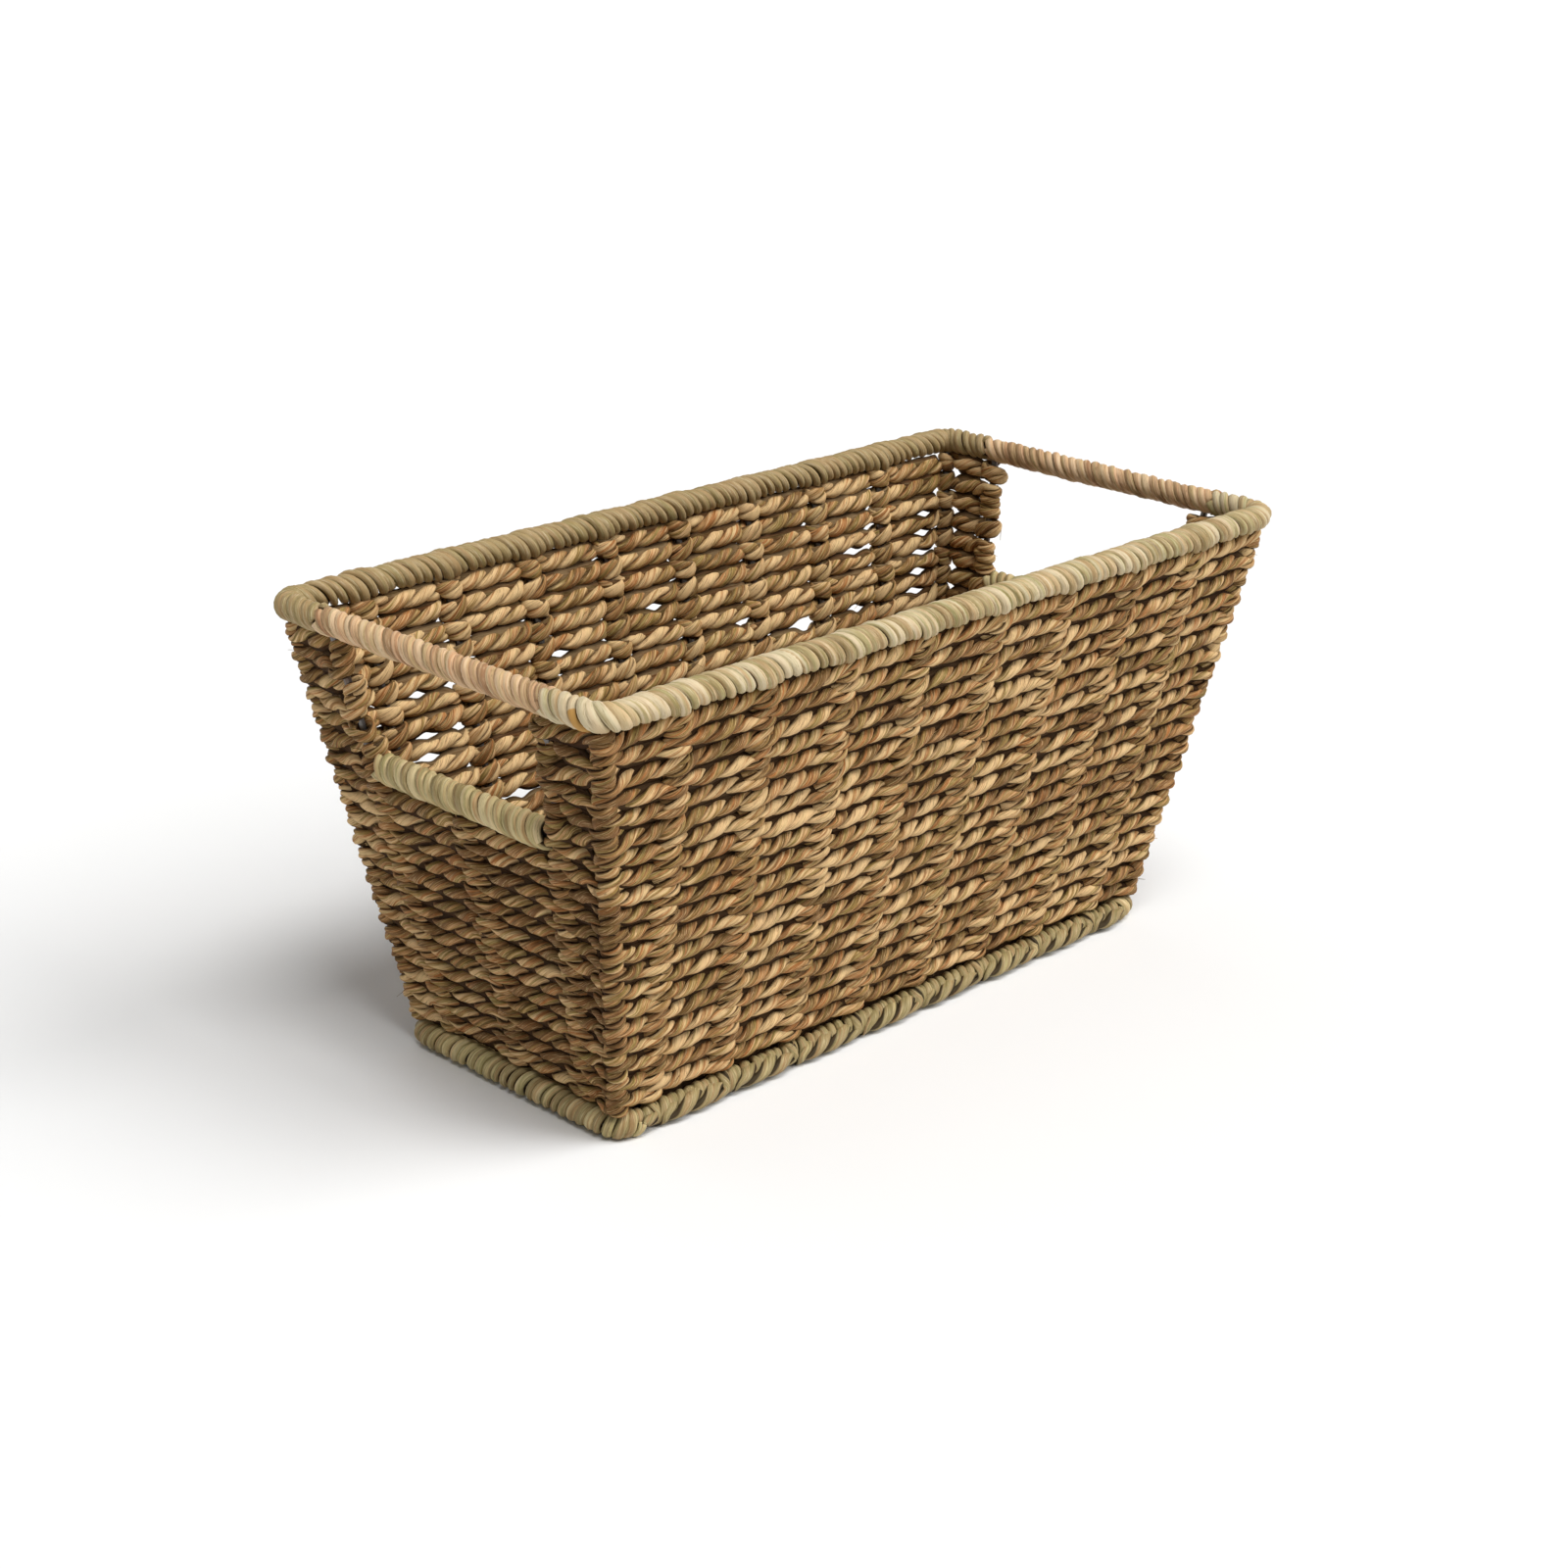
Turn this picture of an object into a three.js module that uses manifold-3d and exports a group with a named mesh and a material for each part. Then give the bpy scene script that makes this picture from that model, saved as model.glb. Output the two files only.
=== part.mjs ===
// Seagrass storage basket: a welded wire frame, woven walls and floor, and wound edges.
// Millimetres, +Z up, +X along the length. The origin is the centre of the footprint,
// on the surface that the basket stands on.
import * as THREE from "three";
import { mergeVertices } from "three/addons/utils/BufferGeometryUtils.js";
import Module from "manifold-3d";

// Overall sizes, measured over the wound edges
const rimLength = 310;
const rimWidth = 150;
const height = 150;
const baseLength = 253;
const baseWidth = 101;

// Wire frame
const ringWireDiameter = 3.2;
const stakeWireDiameter = 2.4;
const hoopBendRadius = 6;
const crossHoopCount = 8;
const crossHoopShift = -5; // the hoops stand a little nearer the left end
const crossHoopFloorSpread = 1.085; // the hoops fan out less than the end walls do
const handleStakeHalfWidth = 47; // at the rim
const sillHeight = 100; // centre of the bar under each handle opening

// Weave and windings
const weaveThickness = 9;
const rimWindingDiameter = 9;
const baseWindingDiameter = 9;
const sillWindingDiameter = 10;
const handleWindingOverlap = 3; // how far each handle's winding runs past its stakes

const clearance = 0.3; // between neighbouring pieces, and round each wire
const wireSides = 8;
const bendSteps = 4;

// Sizes that follow from those above
const ringWireRadius = ringWireDiameter / 2;
const stakeWireRadius = stakeWireDiameter / 2;
const rimZ = height - rimWindingDiameter / 2;
const baseZ = baseWindingDiameter / 2;
const rimHalfLength = (rimLength - rimWindingDiameter) / 2;
const rimHalfWidth = (rimWidth - rimWindingDiameter) / 2;
const baseHalfLength = (baseLength - baseWindingDiameter) / 2;
const baseHalfWidth = (baseWidth - baseWindingDiameter) / 2;
const handleWindingHalfLength = handleStakeHalfWidth + handleWindingOverlap;
const floorThickness = baseWindingDiameter; // the floor's cord is as deep as the winding round it
const hoopInset = ringWireRadius + stakeWireRadius + 3 * clearance; // a hoop passes inside the base ring
const wallInset = hoopInset / 2; // the weave's middle runs between the rings and the hoops
// Sets each corner stake on the middle of the ring's bend
const cornerRadius = wallInset / (1 - Math.SQRT1_2);
const crossFloorZ = floorThickness / 2 - stakeWireRadius - clearance / 2;
const longFloorZ = crossFloorZ + stakeWireDiameter + clearance;
const stakeTopZ = rimZ - ringWireRadius - 2 * clearance;
const wallBottomZ = baseWindingDiameter + clearance;
const wallTopZ = height - rimWindingDiameter - clearance;
const columnBottomZ = sillHeight - sillWindingDiameter / 2;

const wasm = await Module();
wasm.setup();

const paint = (color, roughness, metalness) => ({ color, roughness, metalness });
const steel = paint(0x6b6a66, 0.45, 0.9);
const weave = paint(0xa07f52, 0.85, 0);
const paleStrand = paint(0xcbbd8f, 0.8, 0);
const tanStrand = paint(0xb98f5c, 0.8, 0);
const sageStrand = paint(0xb0a77c, 0.8, 0);

const basket = new THREE.Group();

// ---- Shared shapes ----

function addPiece(name, geometry, finish) {
  const mesh = new THREE.Mesh(geometry, new THREE.MeshStandardMaterial(finish));
  mesh.name = name;
  basket.add(mesh);
}

function solidFrom(geometry) {
  const bare = geometry.clone();
  bare.deleteAttribute("normal");
  bare.deleteAttribute("uv");
  const merged = mergeVertices(bare, 1e-4);
  return new wasm.Manifold(
    new wasm.Mesh({
      numProp: 3,
      vertProperties: merged.attributes.position.array,
      triVerts: new Uint32Array(merged.index.array),
    }),
  );
}

function geometryFrom(solid) {
  const mesh = solid.getMesh();
  const geometry = new THREE.BufferGeometry();
  geometry.setAttribute("position", new THREE.BufferAttribute(new Float32Array(mesh.vertProperties), 3));
  geometry.setIndex(new THREE.BufferAttribute(new Uint32Array(mesh.triVerts), 1));
  const flat = geometry.toNonIndexed();
  flat.computeVertexNormals();
  return flat;
}

function cutAll(geometry, cutters) {
  return geometryFrom(cutters.reduce((solid, cutter) => solid.subtract(cutter), solidFrom(geometry)));
}

const mix = (from, to, share) => from + (to - from) * share;

// Half the distance between opposite walls of the frame at a height
function frameHalf(rimHalf, baseHalf, z) {
  return mix(baseHalf, rimHalf, (z - baseZ) / (rimZ - baseZ));
}

const frameHalfLength = (z) => frameHalf(rimHalfLength, baseHalfLength, z);
const frameHalfWidth = (z) => frameHalf(rimHalfWidth, baseHalfWidth, z);
const handleStakeY = (z) => (handleStakeHalfWidth * frameHalfWidth(z)) / rimHalfWidth;

// A path that passes through given points only, straight between them
class BentPath extends THREE.Curve {
  constructor(points, tangents) {
    super();
    this.points = points;
    this.tangents = tangents;
  }

  get steps() {
    return this.points.length - 1;
  }

  getPointAt(share) {
    return this.points[Math.round(share * this.steps)].clone();
  }

  getTangentAt(share) {
    return this.tangents[Math.round(share * this.steps)].clone();
  }

  getPoint(share) {
    return this.getPointAt(share);
  }
}

// Joins corners with straight runs and rounds each inner corner; returns the points with their directions
function bentPath(corners, radius) {
  const last = corners.length - 1;
  const points = [corners[0]];
  const tangents = [corners[1].clone().sub(corners[0]).normalize()];
  for (let i = 1; i < last; i += 1) {
    const into = corners[i].clone().sub(corners[i - 1]).normalize();
    const out = corners[i + 1].clone().sub(corners[i]).normalize();
    const turn = into.angleTo(out);
    const centre = out
      .clone()
      .sub(into)
      .normalize()
      .multiplyScalar(radius / Math.cos(turn / 2))
      .add(corners[i]);
    const axis = into.clone().cross(out).normalize();
    const spoke = corners[i]
      .clone()
      .addScaledVector(into, -radius * Math.tan(turn / 2))
      .sub(centre);
    for (let step = 0; step <= bendSteps; step += 1) {
      const angle = (turn * step) / bendSteps;
      points.push(spoke.clone().applyAxisAngle(axis, angle).add(centre));
      tangents.push(into.clone().applyAxisAngle(axis, angle));
    }
  }
  points.push(corners[last]);
  tangents.push(corners[last].clone().sub(corners[last - 1]).normalize());
  return new BentPath(points, tangents);
}

const straightPath = (from, to) => bentPath([from, to], 0);

function roundSection(radius, sides) {
  const corners = [];
  for (let i = 0; i < sides; i += 1) {
    const angle = ((i + 0.5) * 2 * Math.PI) / sides;
    corners.push(new THREE.Vector2(radius * Math.cos(angle), radius * Math.sin(angle)));
  }
  return corners;
}

function sweep(section, path) {
  return new THREE.ExtrudeGeometry(section, { steps: path.steps, extrudePath: path });
}

const wireAlong = (path, radius) => sweep(new THREE.Shape(roundSection(radius, wireSides)), path);
const boreAlong = (path, wireRadius) => solidFrom(wireAlong(path, wireRadius + clearance));

// A wound edge: an eight-sided sleeve with flat top and underside, bored for its wire
function windingAlong(path, diameter, wireRadius) {
  const section = new THREE.Shape(roundSection(diameter / 2 / Math.cos(Math.PI / 8), 8));
  section.holes.push(new THREE.Path(roundSection(wireRadius + clearance, wireSides)));
  return sweep(section, path);
}

// A slab between two level rectangles, each given as [x0, x1, y0, y1, z]
function slabBetween(lower, upper) {
  const [low, high] = [lower, upper].map(([x0, x1, y0, y1, z]) => [
    [x0, y0, z],
    [x1, y0, z],
    [x1, y1, z],
    [x0, y1, z],
  ]);
  const geometry = new THREE.BufferGeometry();
  geometry.setAttribute("position", new THREE.Float32BufferAttribute([...low, ...high].flat(), 3));
  const faces = [
    [0, 3, 2, 1],
    [4, 5, 6, 7],
    [0, 1, 5, 4],
    [1, 2, 6, 5],
    [2, 3, 7, 6],
    [3, 0, 4, 7],
  ];
  geometry.setIndex(faces.flatMap(([a, b, c, d]) => [a, b, c, a, c, d]));
  return geometry;
}

const point = (x, y, z) => new THREE.Vector3(x, y, z);
const ends = [
  { name: "left", side: -1 },
  { name: "right", side: 1 },
];
const longSides = [
  { name: "front", side: -1 },
  { name: "back", side: 1 },
];

// ---- Wire frame ----

// The closed ring of wire at the rim or the base
function ringPath(halfLength, halfWidth, z) {
  const turns = [
    [halfLength, -halfWidth],
    [halfLength, halfWidth],
    [-halfLength, halfWidth],
    [-halfLength, -halfWidth],
  ];
  const seam = point(0, -halfWidth, z);
  return bentPath([seam, ...turns.map(([x, y]) => point(x, y, z)), seam], cornerRadius);
}

function ringWire(halfLength, halfWidth, z) {
  const path = ringPath(halfLength, halfWidth, z);
  return new THREE.TubeGeometry(path, path.steps, ringWireRadius, wireSides, true);
}

addPiece("rim_wire", ringWire(rimHalfLength, rimHalfWidth, rimZ), steel);
addPiece("base_wire", ringWire(baseHalfLength, baseHalfWidth, baseZ), steel);

// A hoop runs down one wall, across the floor and up the opposite wall
function crossHoopPath(index, topZ) {
  const pitch = (2 * rimHalfLength) / (crossHoopCount + 1);
  const rimX = crossHoopShift + (index - (crossHoopCount - 1) / 2) * pitch;
  const floorHalf = baseHalfWidth - hoopInset;
  const climb = (topZ - crossFloorZ) / (rimZ - crossFloorZ);
  const topHalf = mix(floorHalf, rimHalfWidth, climb);
  const floorX = (rimX * crossHoopFloorSpread * baseHalfLength) / rimHalfLength;
  const topX = mix(floorX, rimX, climb);
  const corners = [
    point(topX, -topHalf, topZ),
    point(floorX, -floorHalf, crossFloorZ),
    point(floorX, floorHalf, crossFloorZ),
    point(topX, topHalf, topZ),
  ];
  return bentPath(corners, hoopBendRadius);
}

function longHoopHalf(z) {
  const climb = (z - longFloorZ) / (rimZ - longFloorZ);
  return mix(baseHalfLength - hoopInset, rimHalfLength, climb);
}

function longHoopPath(rimY, topZ) {
  const yAt = (z) => (rimY * frameHalfWidth(z)) / rimHalfWidth;
  const topHalf = longHoopHalf(topZ);
  const floorHalf = longHoopHalf(longFloorZ);
  const corners = [
    point(-topHalf, yAt(topZ), topZ),
    point(-floorHalf, yAt(longFloorZ), longFloorZ),
    point(floorHalf, yAt(longFloorZ), longFloorZ),
    point(topHalf, yAt(topZ), topZ),
  ];
  return bentPath(corners, hoopBendRadius);
}

function cornerStakePath(xSide, ySide, bottomZ, topZ) {
  const x = (z) => xSide * (frameHalfLength(z) - wallInset);
  const y = (z) => ySide * (frameHalfWidth(z) - wallInset);
  return straightPath(point(x(bottomZ), y(bottomZ), bottomZ), point(x(topZ), y(topZ), topZ));
}

const sillX = longHoopHalf(sillHeight);
const sillWireHalf = handleStakeY(sillHeight) - stakeWireRadius - 2 * clearance;

function sillPath(side, half) {
  return straightPath(point(side * sillX, -half, sillHeight), point(side * sillX, half, sillHeight));
}

const frameBores = [];
for (let i = 0; i < crossHoopCount; i += 1) {
  addPiece(`cross_hoop_${i + 1}`, wireAlong(crossHoopPath(i, stakeTopZ), stakeWireRadius), steel);
  frameBores.push(boreAlong(crossHoopPath(i, rimZ), stakeWireRadius));
}
for (const { name, side } of longSides) {
  addPiece(
    `handle_hoop_${name}`,
    wireAlong(longHoopPath(side * handleStakeHalfWidth, stakeTopZ), stakeWireRadius),
    steel,
  );
  frameBores.push(boreAlong(longHoopPath(side * handleStakeHalfWidth, rimZ), stakeWireRadius));
}
const middleHoopTopZ = sillHeight - stakeWireRadius - 2 * clearance;
addPiece("middle_hoop", wireAlong(longHoopPath(0, middleHoopTopZ), stakeWireRadius), steel);
frameBores.push(boreAlong(longHoopPath(0, sillHeight), stakeWireRadius));
for (const end of ends) {
  addPiece(`sill_wire_${end.name}`, wireAlong(sillPath(end.side, sillWireHalf), stakeWireRadius), steel);
  frameBores.push(boreAlong(sillPath(end.side, handleStakeY(sillHeight)), stakeWireRadius));
  for (const long of longSides) {
    const bottomZ = baseZ + ringWireRadius + 2 * clearance;
    addPiece(
      `corner_stake_${long.name}_${end.name}`,
      wireAlong(cornerStakePath(end.side, long.side, bottomZ, stakeTopZ), stakeWireRadius),
      steel,
    );
    frameBores.push(boreAlong(cornerStakePath(end.side, long.side, baseZ, rimZ), stakeWireRadius));
  }
}

const addBored = (name, geometry, finish) => addPiece(name, cutAll(geometry, frameBores), finish);

// ---- Woven walls and floor ----

const wallOuter = weaveThickness / 2 - wallInset; // the weave's outer face, from the frame's own line
const wallInner = -weaveThickness / 2 - wallInset;

for (const { name, side } of longSides) {
  const level = (z) => {
    const faces = [side * (frameHalfWidth(z) + wallInner), side * (frameHalfWidth(z) + wallOuter)];
    const halfLength = frameHalfLength(z) + wallOuter;
    return [-halfLength, halfLength, Math.min(...faces), Math.max(...faces), z];
  };
  addBored(`${name}_wall_weave`, slabBetween(level(wallBottomZ), level(wallTopZ)), weave);
}

for (const end of ends) {
  const level = (z, y0, y1) => {
    const half = frameHalfLength(z);
    const faces = [end.side * (half + wallInner), end.side * (half + wallOuter)];
    return [Math.min(...faces), Math.max(...faces), Math.min(y0, y1), Math.max(y0, y1), z];
  };
  const reach = (z) => frameHalfWidth(z) + wallInner - clearance;
  const endTopZ = columnBottomZ - clearance;
  addBored(
    `${end.name}_end_weave`,
    slabBetween(
      level(wallBottomZ, -reach(wallBottomZ), reach(wallBottomZ)),
      level(endTopZ, -reach(endTopZ), reach(endTopZ)),
    ),
    weave,
  );
  for (const long of longSides) {
    const edge = (z) => handleStakeY(z) - weaveThickness / 2;
    addBored(
      `${end.name}_${long.name}_column_weave`,
      slabBetween(
        level(columnBottomZ, long.side * edge(columnBottomZ), long.side * reach(columnBottomZ)),
        level(wallTopZ, long.side * edge(wallTopZ), long.side * reach(wallTopZ)),
      ),
      weave,
    );
  }
}

// The floor fills the base ring's winding, round corners included
const floorHalfLength = baseHalfLength - baseWindingDiameter / 2 - clearance;
const floorHalfWidth = baseHalfWidth - baseWindingDiameter / 2 - clearance;
const floorCornerRadius = cornerRadius - baseWindingDiameter / 2 - clearance;
const floorOutline = new THREE.Shape();
const floorCorners = [
  [1, -1],
  [1, 1],
  [-1, 1],
  [-1, -1],
];
floorCorners.forEach(([xSide, ySide], i) => {
  const x = xSide * (floorHalfLength - floorCornerRadius);
  const y = ySide * (floorHalfWidth - floorCornerRadius);
  const startAngle = ((i - 1) * Math.PI) / 2;
  floorOutline.absarc(x, y, floorCornerRadius, startAngle, startAngle + Math.PI / 2, false);
});
const floorSlab = new THREE.ExtrudeGeometry(floorOutline, {
  depth: floorThickness,
  bevelEnabled: false,
  curveSegments: bendSteps,
});
addBored("floor_weave", floorSlab, weave);

// ---- Wound edges ----

const addWinding = (name, path, diameter, wireRadius, finish) =>
  addBored(name, windingAlong(path, diameter, wireRadius), finish);

function addRingWindings(label, halfLength, halfWidth, z, diameter, endHalf, strand) {
  const straight = halfLength - cornerRadius - 1.5 * clearance;
  for (const long of longSides) {
    const y = long.side * halfWidth;
    const path = straightPath(point(-straight, y, z), point(straight, y, z));
    addWinding(`${label}_winding_${long.name}`, path, diameter, ringWireRadius, strand);
    for (const end of ends) {
      const x = end.side * halfLength;
      const start = point(end.side * (straight + clearance), y, z);
      const stop = point(x, long.side * (endHalf + clearance / 2), z);
      const corner = bentPath([start, point(x, y, z), stop], cornerRadius);
      addWinding(`${label}_corner_${long.name}_${end.name}`, corner, diameter, ringWireRadius, strand);
    }
  }
}

addRingWindings(
  "rim",
  rimHalfLength,
  rimHalfWidth,
  rimZ,
  rimWindingDiameter,
  handleWindingHalfLength,
  paleStrand,
);
const baseEndHalf = baseHalfWidth - cornerRadius - clearance;
addRingWindings(
  "base",
  baseHalfLength,
  baseHalfWidth,
  baseZ,
  baseWindingDiameter,
  baseEndHalf,
  sageStrand,
);

for (const end of ends) {
  const winding = (x, half, z) => straightPath(point(end.side * x, -half, z), point(end.side * x, half, z));
  addWinding(
    `handle_winding_${end.name}`,
    winding(rimHalfLength, handleWindingHalfLength - clearance / 2, rimZ),
    rimWindingDiameter,
    ringWireRadius,
    tanStrand,
  );
  addWinding(
    `base_winding_${end.name}`,
    winding(baseHalfLength, baseEndHalf - clearance / 2, baseZ),
    baseWindingDiameter,
    ringWireRadius,
    sageStrand,
  );
  const sillHalf = handleStakeY(columnBottomZ) - weaveThickness / 2 - clearance;
  addWinding(
    `sill_winding_${end.name}`,
    winding(sillX, sillHalf, sillHeight),
    sillWindingDiameter,
    stakeWireRadius,
    sageStrand,
  );
}

export default basket;
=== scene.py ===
import math

import bpy
import numpy as np
from mathutils import Matrix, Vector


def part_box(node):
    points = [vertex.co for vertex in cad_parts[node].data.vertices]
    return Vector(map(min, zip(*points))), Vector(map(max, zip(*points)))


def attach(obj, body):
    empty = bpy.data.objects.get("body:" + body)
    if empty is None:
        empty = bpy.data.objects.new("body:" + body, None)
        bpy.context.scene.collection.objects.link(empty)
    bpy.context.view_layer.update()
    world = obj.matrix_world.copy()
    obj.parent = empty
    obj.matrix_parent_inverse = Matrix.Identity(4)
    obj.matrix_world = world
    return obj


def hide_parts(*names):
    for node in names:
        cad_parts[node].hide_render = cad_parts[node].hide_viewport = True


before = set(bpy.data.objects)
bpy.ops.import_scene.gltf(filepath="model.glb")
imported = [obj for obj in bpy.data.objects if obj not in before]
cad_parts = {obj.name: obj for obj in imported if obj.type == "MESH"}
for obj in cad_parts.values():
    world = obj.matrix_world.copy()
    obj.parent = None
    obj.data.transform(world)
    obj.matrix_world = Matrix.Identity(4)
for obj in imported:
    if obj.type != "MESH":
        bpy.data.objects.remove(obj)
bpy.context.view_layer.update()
random = np.random.default_rng(31)
mm = 0.001


def boxMm(node):
    low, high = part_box(node)
    return np.array(low) / mm, np.array(high) / mm


def everywhere(points):
    return np.ones(len(points), bool)


def wireCentre(node, axis, level, keep=everywhere):
    # where the wire's middle crosses a level of one axis
    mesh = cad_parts[node].data
    points = np.empty(len(mesh.vertices) * 3)
    mesh.vertices.foreach_get("co", points)
    points = points.reshape(-1, 3) / mm
    links = np.empty(len(mesh.edges) * 2, int)
    mesh.edges.foreach_get("vertices", links)
    start, end = points[links[0::2]], points[links[1::2]]
    crossing = (start[:, axis] - level) * (end[:, axis] - level) < 0
    start, end = start[crossing], end[crossing]
    share = (level - start[:, axis]) / (end[:, axis] - start[:, axis])
    found = start + (end - start) * share[:, None]
    return found[keep(found)].mean(axis=0)


def uprightLine(node, keep=everywhere):
    # a stake's plan position as a function of height
    low, high = 20.0, 90.0
    first, second = (wireCentre(node, 2, level, keep) for level in (low, high))
    return lambda z: (first + (second - first) * (z - low) / (high - low))[:2]


rimLow, rimHigh = boxMm("rim_wire")
baseLow, baseHigh = boxMm("base_wire")
sillLow, sillHigh = boxMm("sill_wire_left")
ringWireRadius = (rimHigh[2] - rimLow[2]) / 2
stakeWireRadius = (sillHigh[2] - sillLow[2]) / 2
rimHeight = (rimLow[2] + rimHigh[2]) / 2
baseHeight = (baseLow[2] + baseHigh[2]) / 2
rimHalf = rimHigh[:2] - ringWireRadius
baseHalf = baseHigh[:2] - ringWireRadius
crossHoops = sorted(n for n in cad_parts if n.startswith("cross_hoop_"))

atFront, atBack = (lambda p: p[:, 1] < 0), (lambda p: p[:, 1] > 0)
atLeft, atRight = (lambda p: p[:, 0] < 0), (lambda p: p[:, 0] > 0)
ends = {"left": atLeft, "right": atRight}

frontStakes = [uprightLine(n, atFront) for n in crossHoops]
backStakes = [uprightLine(n, atBack) for n in reversed(crossHoops)]
places = [(side, end) for side in ("front", "back") for end in ends]
corner = {(side, end): uprightLine(f"corner_stake_{side}_{end}") for side, end in places}
handle = {(side, end): uprightLine(f"handle_hoop_{side}", ends[end]) for side, end in places}
middle = {end: uprightLine("middle_hoop", keep) for end, keep in ends.items()}

# the stakes in the order that a weaver meets them, walking with the outside on the right
frontRun = [corner["front", "left"], *frontStakes, corner["front", "right"]]
backRun = [corner["back", "right"], *backStakes, corner["back", "left"]]
rightEnd = [handle["front", "right"], middle["right"], handle["back", "right"]]
leftEnd = [handle["back", "left"], middle["left"], handle["front", "left"]]
ringRun = [*frontRun, *rightEnd, *backRun, *leftEnd]
print("frame read:", len(ringRun), "stakes")


class Field:  # one socket, so that sums on it read as plain Python
    def __init__(self, shader, socket):
        self.shader = shader
        self.socket = socket

    def maths(self, operation, first, second):
        return self.shader.add("ShaderNodeMath", {"operation": operation}, {0: first, 1: second})

    def __add__(self, other):
        return self.maths("ADD", self, other)

    def __sub__(self, other):
        return self.maths("SUBTRACT", self, other)

    def __rsub__(self, other):
        return self.maths("SUBTRACT", other, self)

    def __mul__(self, other):
        return self.maths("MULTIPLY", self, other)

    __radd__ = __add__
    __rmul__ = __mul__


class Shader:
    def __init__(self, name):
        self.material = bpy.data.materials.new(name)
        self.material.use_nodes = True
        self.tree = self.material.node_tree
        self.tree.nodes.clear()

    def add(self, kind, settings=None, sockets=None, out=0):
        node = self.tree.nodes.new(kind)
        for key, value in (settings or {}).items():
            if key == "stops":
                self.setStops(node.color_ramp, value)
            else:
                setattr(node, key, value)
        for key, value in (sockets or {}).items():
            self.feed(node.inputs[key], value)
        return Field(self, node.outputs[out]) if len(node.outputs) else node

    def setStops(self, ramp, stops):
        while len(ramp.elements) < len(stops):
            ramp.elements.new(1)
        for element, (position, colour) in zip(ramp.elements, stops):
            element.position = position
            element.color = (*colour, 1)

    def feed(self, socket, value):
        if isinstance(value, Field):
            self.tree.links.new(value.socket, socket)
        elif isinstance(value, tuple) and len(value) == 3 and socket.type == "RGBA":
            socket.default_value = (*value, 1)
        else:
            socket.default_value = value

    def attribute(self, name, out="Fac"):
        return self.add("ShaderNodeAttribute", {"attribute_name": name}, out=out)

    def stretch(self, vector, across, along):
        # across is the scale round a strand and along the scale down its length
        sockets = {0: vector, 1: (across, across, along)}
        return self.add("ShaderNodeVectorMath", {"operation": "MULTIPLY"}, sockets)

    def noise(self, vector, scale, detail=2.0, roughness=0.5):
        sockets = {"Vector": vector, "Scale": scale, "Detail": detail, "Roughness": roughness}
        return self.add("ShaderNodeTexNoise", {}, sockets)

    def ramp(self, fac, stops):
        return self.add("ShaderNodeValToRGB", {"stops": stops}, {"Fac": fac})

    def step(self, value, low, high):
        # 0 below low, 1 above high and smooth between
        settings = {"interpolation_type": "SMOOTHSTEP"}
        return self.add("ShaderNodeMapRange", settings, {0: value, 1: low, 2: high, 3: 0.0, 4: 1.0})

    def tint(self, share, under, over):
        return self.add("ShaderNodeMix", {"data_type": "RGBA"}, {0: share, 6: under, 7: over}, 2)

    def finish(self, colour, roughness, height, bumpDistance, fixed):
        sockets = {"Strength": 1.0, "Distance": bumpDistance, "Height": height}
        normal = self.add("ShaderNodeBump", {}, sockets)
        sockets = {"Base Color": colour, "Roughness": roughness, "Normal": normal, **fixed}
        surface = self.add("ShaderNodeBsdfPrincipled", {}, sockets)
        self.add("ShaderNodeOutputMaterial", {}, {"Surface": surface})
        return self.material


def grassFinish(name, look):
    # dry grass: long fibres along each strand, blades of several colours, and painted shade in the
    # grooves between plies, strands and courses
    shader = Shader(name)
    grain = shader.attribute("grain", "Vector")
    groove = shader.attribute("groove")
    tone = shader.attribute("tone")
    hues = shader.noise(shader.stretch(grain, look["bladeAcross"], look["hueAlong"]), 1.0, 1.5)
    blades = shader.noise(shader.stretch(grain, look["bladeAcross"], look["bladeAlong"]), 1.0, 1.5)
    fibres = shader.noise(shader.stretch(grain, look["fibreAcross"], look["fibreAlong"]), 1.0, 3.0, 0.6)
    specks = shader.noise(shader.stretch(grain, look["speckAcross"], look["speckAlong"]), 1.0, 2.0)
    colour = shader.ramp(shader.step(hues, 0.3, 0.7), look["hues"])
    shade = blades + (tone - 0.5) * look["toneSpread"]
    colour = shader.tint(shader.step(shade, 0.5, 0.72) * look["bladeLight"], colour, look["light"])
    colour = shader.tint(shader.step(shade, 0.5, 0.28) * look["bladeDark"], colour, look["dark"])
    colour = shader.tint(shader.step(fibres, 0.52, 0.68) * look["fibreLight"], colour, look["light"])
    colour = shader.tint(shader.step(fibres, 0.48, 0.32) * look["fibreDark"], colour, look["dark"])
    colour = shader.tint(shader.step(specks, 0.66, 0.74) * look["speckShare"], colour, look["dark"])
    colour = shader.tint(shader.step(tone, 1.2, 1.6) * look["ochreShare"], colour, look["ochre"])
    # painted shade: grooves, the inner sides of plies and the cords' cores are darkened towards the
    # painted shade colour
    paintedShadeMask = shader.step(groove, *look["paintedShadeRange"])
    colour = shader.tint(paintedShadeMask * look["paintedShadeStrength"], colour, look["deep"])
    roughness = fibres * -0.25 + groove * 0.2 + look["roughness"]
    height = fibres * 0.6 + blades * 0.8
    fixed = {"Specular IOR Level": look["specular"]}
    return shader.finish(colour, roughness, height, look["bump"] * mm, fixed)


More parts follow.
